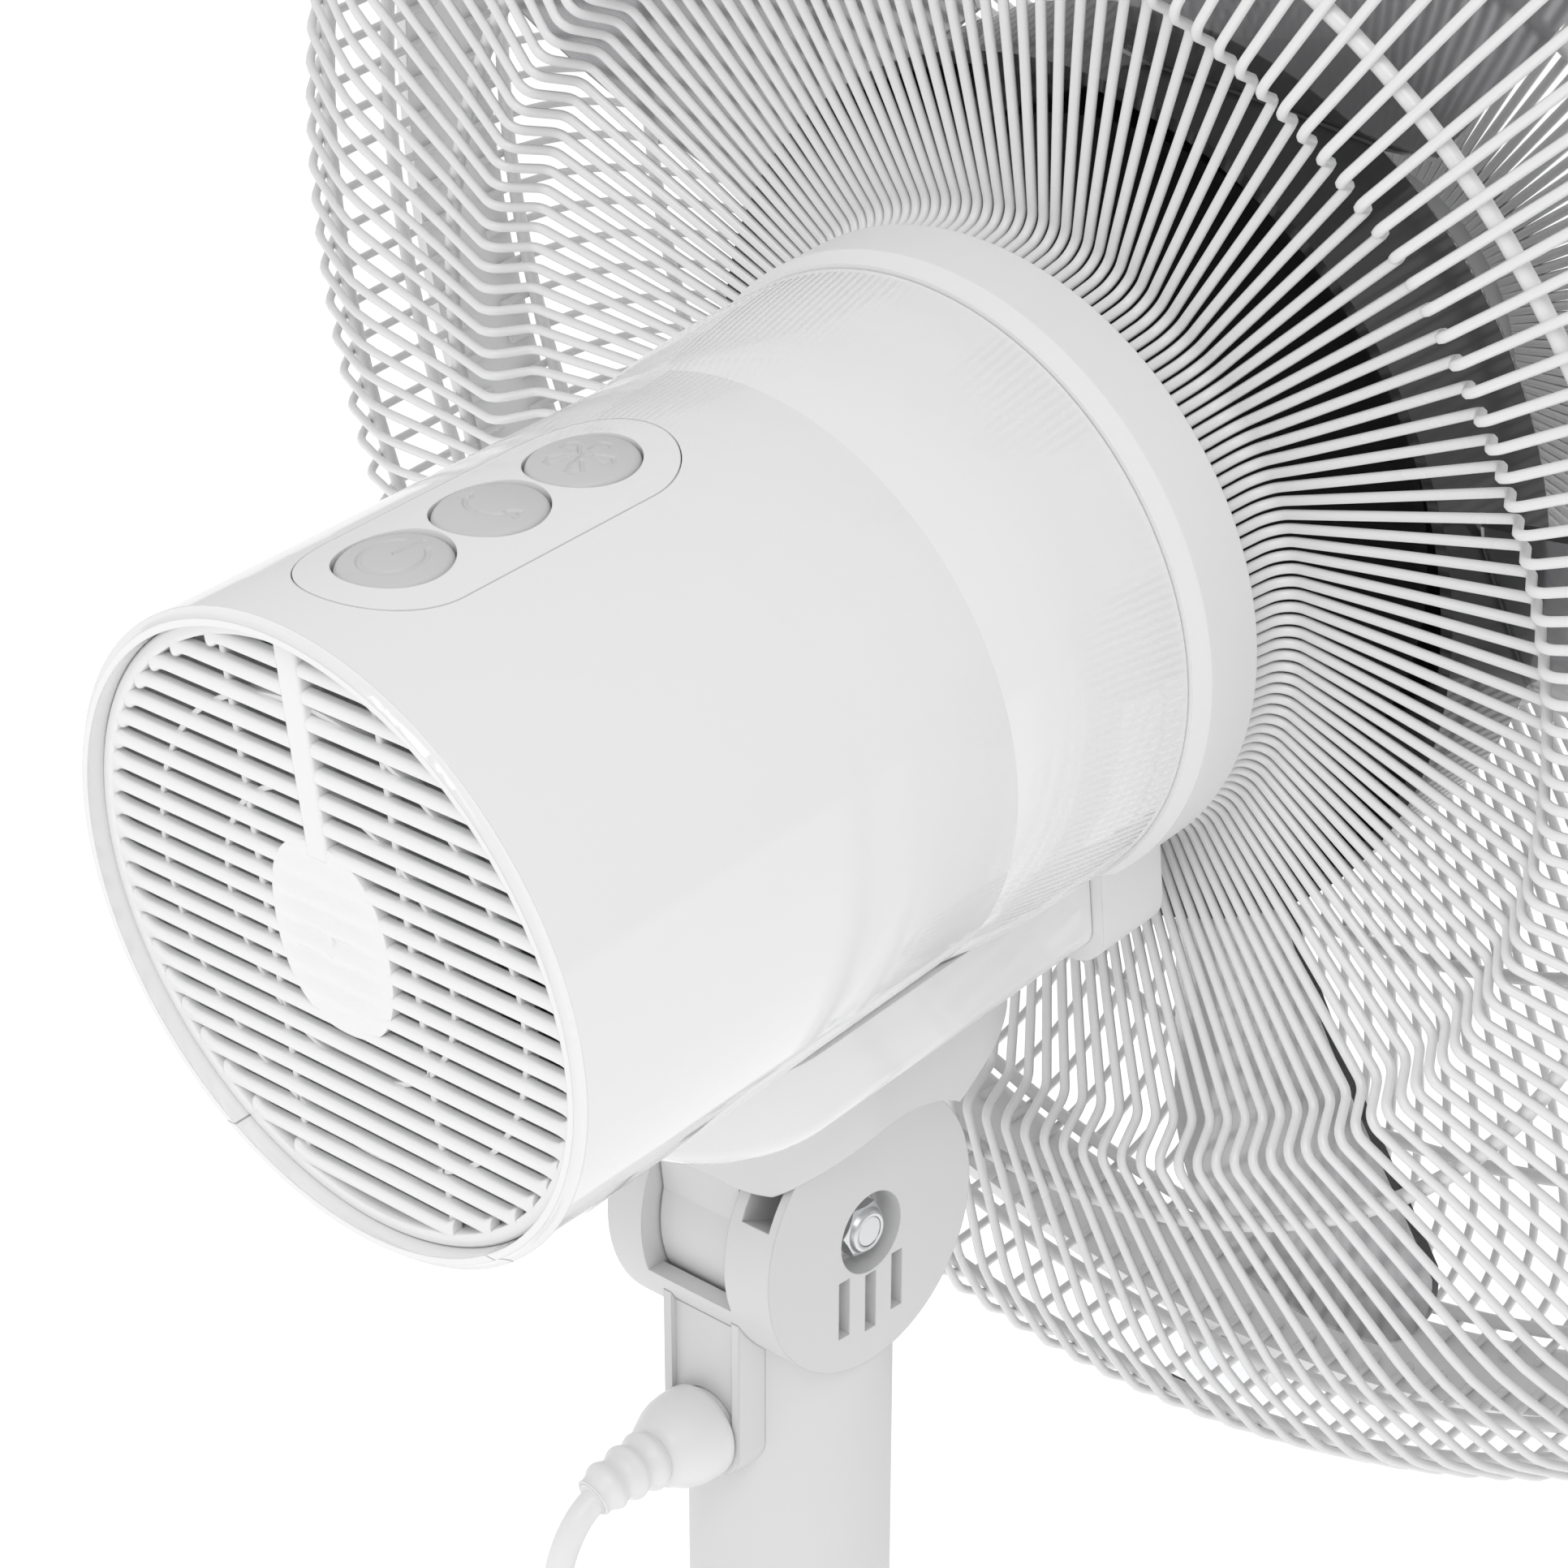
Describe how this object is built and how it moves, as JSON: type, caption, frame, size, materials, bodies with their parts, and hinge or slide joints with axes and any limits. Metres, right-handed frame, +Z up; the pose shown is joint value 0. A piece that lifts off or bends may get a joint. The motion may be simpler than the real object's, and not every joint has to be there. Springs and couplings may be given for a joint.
{
  "type": "pedestal fan",
  "caption": "Pedestal fan with a round base, straight pole, tilting neck, swinging motor head, three top buttons and a round wire guard.",
  "frame": {"origin": "on the floor under the pole, at the bottom centre of the fan without its cord", "axes": "+Z up along the pole, the fan blows towards -Y, the tilt bolt runs along X"},
  "size_m": [0.4634, 0.513, 1.2591],
  "materials": {
    "gloss_white": "glossy injection-moulded ABS",
    "satin_white": "satin moulded plastic",
    "neck_white": "satin moulded nylon",
    "painted_pole": "white powder-coated steel tube",
    "guard_wire": "white dipped steel wire",
    "badge_white": "plain glossy badge",
    "smoke_plastic": "translucent smoky grey plastic",
    "dark_plastic": "black moulded plastic",
    "button_grey": "matte grey plastic with engraved icons",
    "zinc_steel": "zinc-plated steel",
    "cast_weight": "black-lacquered steel plate",
    "rubber_foot": "soft rubber",
    "motor_steel": "laminated electrical steel",
    "motor_casting": "die-cast aluminium",
    "copper_wire": "enamelled copper wire",
    "gear_plastic": "acetal gears",
    "circuit_board": "solder-masked board",
    "cord_pvc": "soft white PVC",
    "tie_plastic": "nylon tie",
    "clear_latch": "clear plastic lever"
  },
  "bodies": {
    "stand": {"base_cover": "gloss_white", "base_weight": "cast_weight", "base_feet": "rubber_foot", "pole_socket": "satin_white", "base_bolt": "zinc_steel", "stand_screws": "zinc_steel", "pole_trim": "satin_white", "lower_pole": "painted_pole", "upper_pole": "painted_pole", "pole_joiner": "satin_white", "neck_body": "neck_white", "socket_block": "neck_white", "power_inlet": "dark_plastic", "cord_connector": "cord_pvc", "tilt_bolt": "zinc_steel", "tilt_nut": "zinc_steel", "tilt_washers": "zinc_steel", "power_cord": "cord_pvc", "cord_coil": "cord_pvc", "cord_tie": "tie_plastic", "mains_plug": "cord_pvc"},
    "tilt_frame": {"tilt_bracket": "neck_white", "tilt_bush": "neck_white", "swing_post": "zinc_steel", "swing_gear": "gear_plastic", "post_clip": "zinc_steel"},
    "head": {"swing_motor": "dark_plastic", "housing_shell": "gloss_white", "button_panel": "gloss_white", "control_board": "circuit_board", "bottom_cover": "gloss_white", "swing_bush": "neck_white", "collar": "satin_white", "rear_grille": "satin_white", "motor_front_bracket": "motor_casting", "motor_rear_bracket": "motor_casting", "motor_stator": "motor_steel", "motor_windings": "copper_wire", "motor_bearings": "zinc_steel", "motor_screws": "zinc_steel", "guard_plate": "guard_wire", "guard_nut": "satin_white", "rear_guard_wires": "guard_wire", "rear_guard_hoops": "guard_wire", "guard_band": "neck_white", "front_guard_wires": "guard_wire", "front_guard_hoops": "guard_wire", "front_badge": "badge_white", "latch_base": "satin_white", "latch_pin": "zinc_steel"},
    "rotor": {"motor_shaft": "zinc_steel", "motor_rotor": "motor_steel", "blade_pin": "zinc_steel", "fan_blade": "smoke_plastic", "spinner_nut": "dark_plastic"},
    "pinion": {"swing_pinion": "gear_plastic"},
    "power_key": {"power_button": "button_grey"},
    "swing_key": {"swing_button": "button_grey"},
    "speed_key": {"speed_button": "button_grey"},
    "latch_lever": {"guard_latch": "clear_latch"}
  },
  "joints": [
    {"name": "head_tilt", "type": "hinge", "parent": "stand", "child": "tilt_frame", "pos_m": [0, 0, 0.9], "axis": [-1, 0, 0], "range_deg": [-15, 15]},
    {"name": "swing", "type": "hinge", "parent": "tilt_frame", "child": "head", "pos_m": [0, 0.00526, 0.94288], "axis": [0, 0.1219, 0.9925], "range_deg": [-40, 40]},
    {"name": "blade_spin", "type": "hinge", "parent": "head", "child": "rotor", "pos_m": [0, -0.05403, 1.01796], "axis": [0, -0.9925, 0.1219], "continuous": true},
    {"name": "pinion_turn", "type": "hinge", "parent": "head", "child": "pinion", "pos_m": [0, 0.0355, 0.94299], "axis": [0, 0.1219, 0.9925], "range_deg": [-121, 121]},
    {"name": "power_press", "type": "slide", "parent": "head", "child": "power_key", "axis": [0, -0.1219, -0.9925], "range_m": [0, 0.0012], "stiffness_N_per_m": 400, "springref_m": -0.0006},
    {"name": "swing_press", "type": "slide", "parent": "head", "child": "swing_key", "axis": [0, -0.1219, -0.9925], "range_m": [0, 0.0012], "stiffness_N_per_m": 400, "springref_m": -0.0006},
    {"name": "speed_press", "type": "slide", "parent": "head", "child": "speed_key", "axis": [0, -0.1219, -0.9925], "range_m": [0, 0.0012], "stiffness_N_per_m": 400, "springref_m": -0.0006},
    {"name": "latch_open", "type": "hinge", "parent": "head", "child": "latch_lever", "pos_m": [0, -0.17167, 0.79423], "axis": [-1, 0, 0], "range_deg": [0, 95]}
  ],
  "couplings": [
    {"joint": "pinion_turn", "follows": "swing", "ratio": 3}
  ]
}
